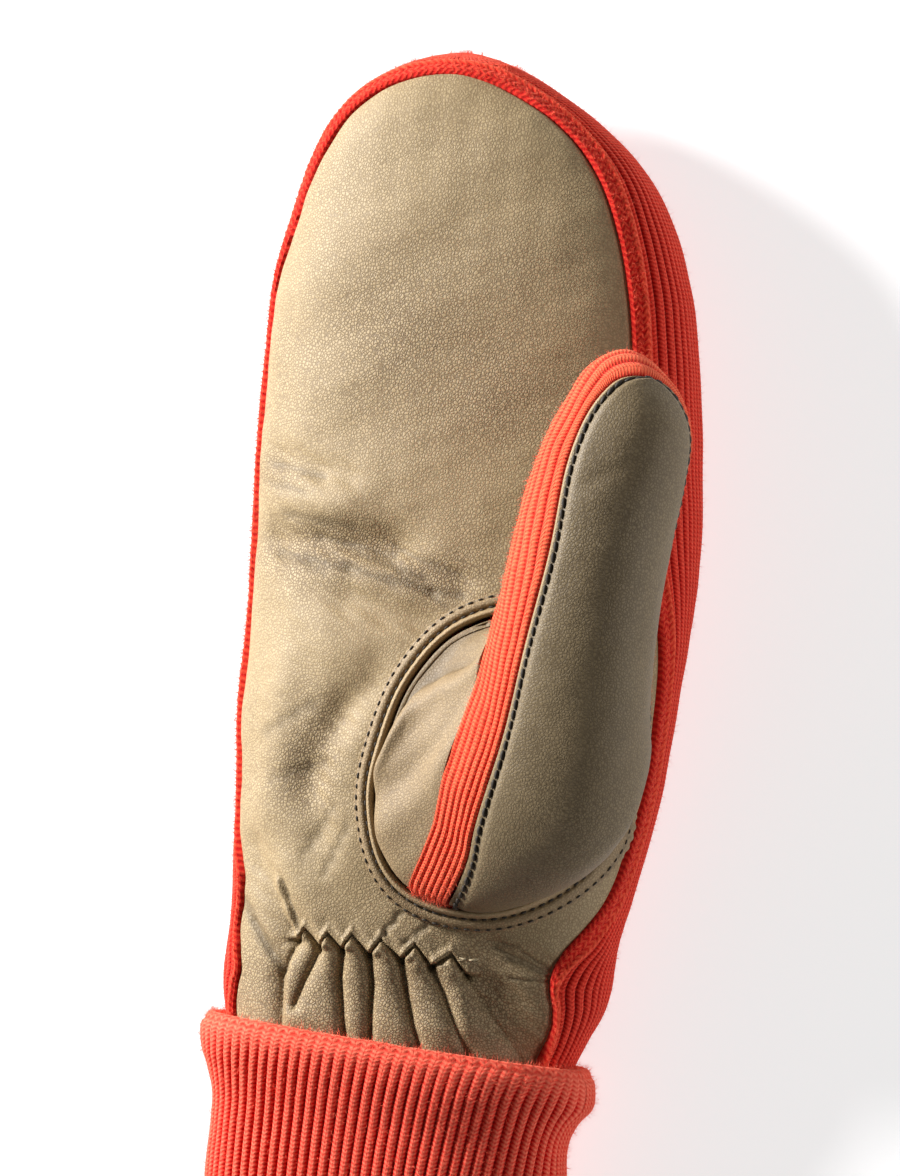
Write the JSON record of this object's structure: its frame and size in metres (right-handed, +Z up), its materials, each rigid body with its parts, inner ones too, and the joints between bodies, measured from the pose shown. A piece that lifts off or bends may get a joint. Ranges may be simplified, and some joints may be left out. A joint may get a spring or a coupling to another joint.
{
  "type": "leather mitten",
  "caption": "Right-hand mitten with a leather palm and thumb, ribbed knit back, gathered wrist and folded knit cuff, lying palm up in its worn shape.",
  "frame": {"origin": "the point of the resting plane under the middle of the palm, on the flat of the knit back", "axes": "+Z up out of the palm, +Y to the fingertips, +X to the thumb side"},
  "size_m": [0.1124, 0.279, 0.0782],
  "materials": {
    "leather_palm": "semi-matte fine grain",
    "wool_rib": "matte ribbed knit",
    "wool_band": "matte ribbed knit",
    "wool_cuff": "matte ribbed knit",
    "leather_thumb": "semi-matte fine grain",
    "leather_gusset": "semi-matte fine grain",
    "wool_thumb": "matte ribbed knit",
    "leather_welt": "semi-matte fine grain"
  },
  "bodies": {
    "root": {"palm_leather": "leather_palm", "knit_back": "wool_rib", "edge_band": "wool_band", "cuff": "wool_cuff", "thumb_panel": "leather_thumb", "thumb_gusset": "leather_gusset", "thumb_knit_strip": "wool_thumb", "thumb_welt": "leather_welt"}
  },
  "joints": []
}
